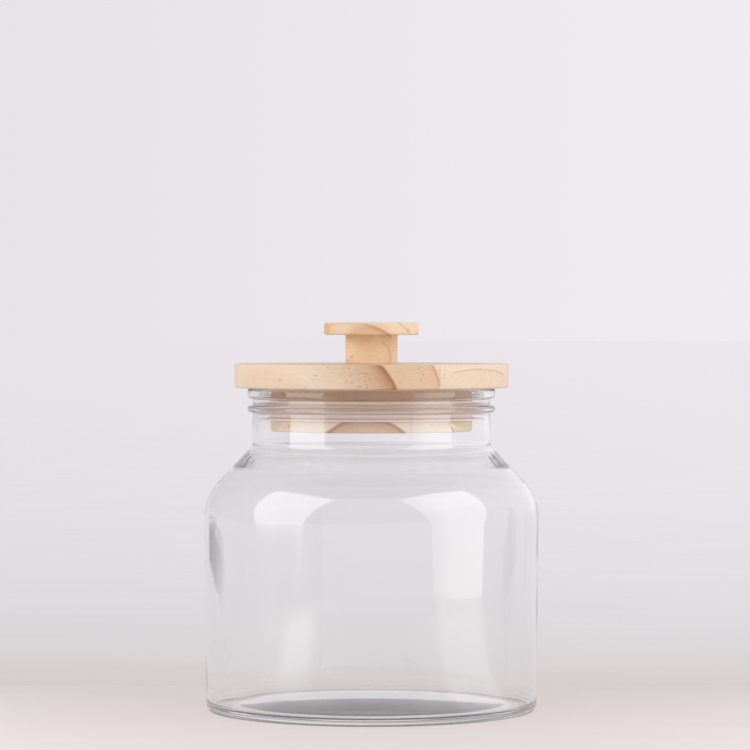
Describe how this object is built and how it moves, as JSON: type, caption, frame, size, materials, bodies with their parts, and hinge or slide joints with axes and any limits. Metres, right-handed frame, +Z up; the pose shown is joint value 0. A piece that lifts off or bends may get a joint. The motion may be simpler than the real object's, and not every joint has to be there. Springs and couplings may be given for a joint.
{
  "type": "storage jar",
  "caption": "Round clear-glass storage jar with a beaded neck and a lift-off wooden lid that has a round knob and a silicone-sealed plug.",
  "frame": {"origin": "centre of the bearing ring that the jar stands on", "axes": "+Z up along the axis of the jar, -Y towards the pictured side, +X to its right"},
  "size_m": [0.1798, 0.1798, 0.2077],
  "materials": {
    "clear_glass": "clear, fire-polished",
    "pale_wood": "oiled, satin",
    "brown_wood": "oiled, satin",
    "plug_wood": "oiled, satin",
    "knob_wood": "oiled, satin",
    "silicone": "translucent, matt",
    "steel": "zinc plated"
  },
  "bodies": {
    "jar": {"glass_jar": "clear_glass"},
    "lid": {"lid_stave_front": "brown_wood", "lid_stave_middle": "pale_wood", "lid_stave_back": "pale_wood", "lid_plug": "plug_wood", "seal_ring": "silicone", "lid_knob": "knob_wood", "knob_screw": "steel"}
  },
  "joints": [
    {"name": "lid_lift", "type": "slide", "parent": "jar", "child": "lid", "axis": [0, 0, 1], "range_m": [0, 0.16]}
  ]
}
